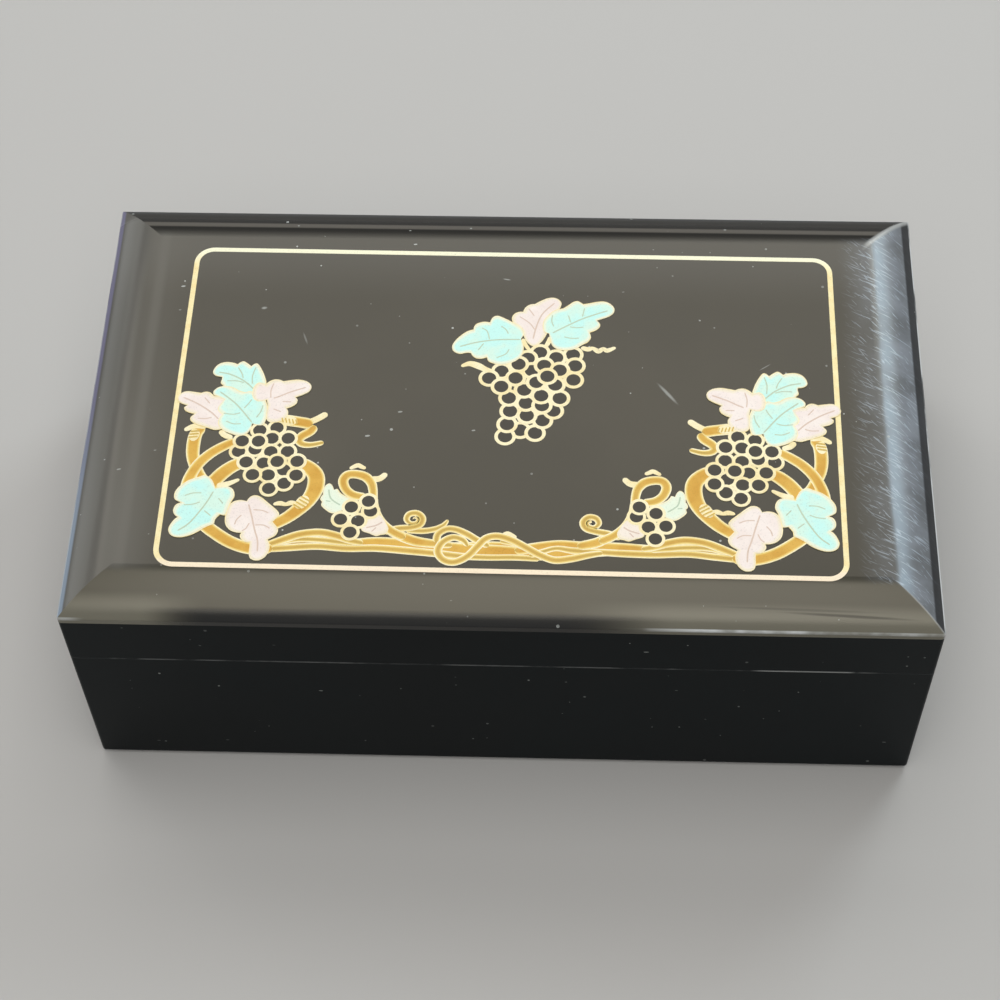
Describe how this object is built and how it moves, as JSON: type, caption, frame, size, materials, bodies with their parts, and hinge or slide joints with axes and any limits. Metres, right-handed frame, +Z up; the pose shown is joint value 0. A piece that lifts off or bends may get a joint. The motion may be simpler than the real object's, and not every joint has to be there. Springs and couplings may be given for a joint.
{
  "type": "jewelry box",
  "caption": "Rectangular lacquered jewelry box with a crowned hinged lid, a mirror in the lid, velvet lining and a lift-out tray with a ring cushion.",
  "frame": {"origin": "centre of the underside's resting face", "axes": "+Z up, +X to the right seen from the front, +Y towards the hinged back; the long side lies along X"},
  "size_m": [0.24, 0.1503, 0.0845],
  "materials": {
    "black_lacquer": "gloss",
    "black_felt": "matte",
    "red_velvet": "matte",
    "mirror_glass": "polished",
    "hinge_brass": "polished",
    "gold_print": "satin",
    "vine_print": "satin",
    "mint_print": "satin",
    "pink_print": "satin"
  },
  "bodies": {
    "base": {"base_back": "black_lacquer", "base_bottom": "black_lacquer", "base_felt": "black_felt", "base_front": "black_lacquer", "base_hinge_screws": "hinge_brass", "base_left": "black_lacquer", "base_right": "black_lacquer", "hinge_left_base_leaf": "hinge_brass", "hinge_left_pin": "hinge_brass", "hinge_right_base_leaf": "hinge_brass", "hinge_right_pin": "hinge_brass", "lining_back": "red_velvet", "lining_floor": "red_velvet", "lining_front": "red_velvet", "lining_left": "red_velvet", "lining_right": "red_velvet"},
    "lid": {"hinge_left_lid_leaf": "hinge_brass", "hinge_right_lid_leaf": "hinge_brass", "lid_back": "black_lacquer", "lid_front": "black_lacquer", "lid_hinge_screws": "hinge_brass", "lid_left": "black_lacquer", "lid_lining_back": "red_velvet", "lid_lining_front": "red_velvet", "lid_lining_left": "red_velvet", "lid_lining_right": "red_velvet", "lid_right": "black_lacquer", "lid_top": "black_lacquer", "mirror": "mirror_glass", "mirror_surround": "red_velvet"},
    "tray": {"ring_roll_1": "red_velvet", "ring_roll_2": "red_velvet", "ring_roll_3": "red_velvet", "ring_roll_4": "red_velvet", "ring_roll_5": "red_velvet", "ring_roll_6": "red_velvet", "ring_roll_7": "red_velvet", "ring_roll_8": "red_velvet", "tray_back": "red_velvet", "tray_divider_long": "red_velvet", "tray_divider_rings": "red_velvet", "tray_divider_short": "red_velvet", "tray_floor": "red_velvet", "tray_front": "red_velvet", "tray_left": "red_velvet", "tray_liner_back": "red_velvet", "tray_liner_front_left": "red_velvet", "tray_liner_front_right": "red_velvet", "tray_right": "red_velvet"}
  },
  "joints": [
    {"name": "lid_hinge", "type": "hinge", "parent": "base", "child": "lid", "pos_m": [0, 0.0743, 0.05752], "axis": [-1, 0, 0], "range_deg": [0, 100]},
    {"name": "tray_lift", "type": "slide", "parent": "base", "child": "tray", "axis": [0, 0, 1], "range_m": [0, 0.016]}
  ]
}
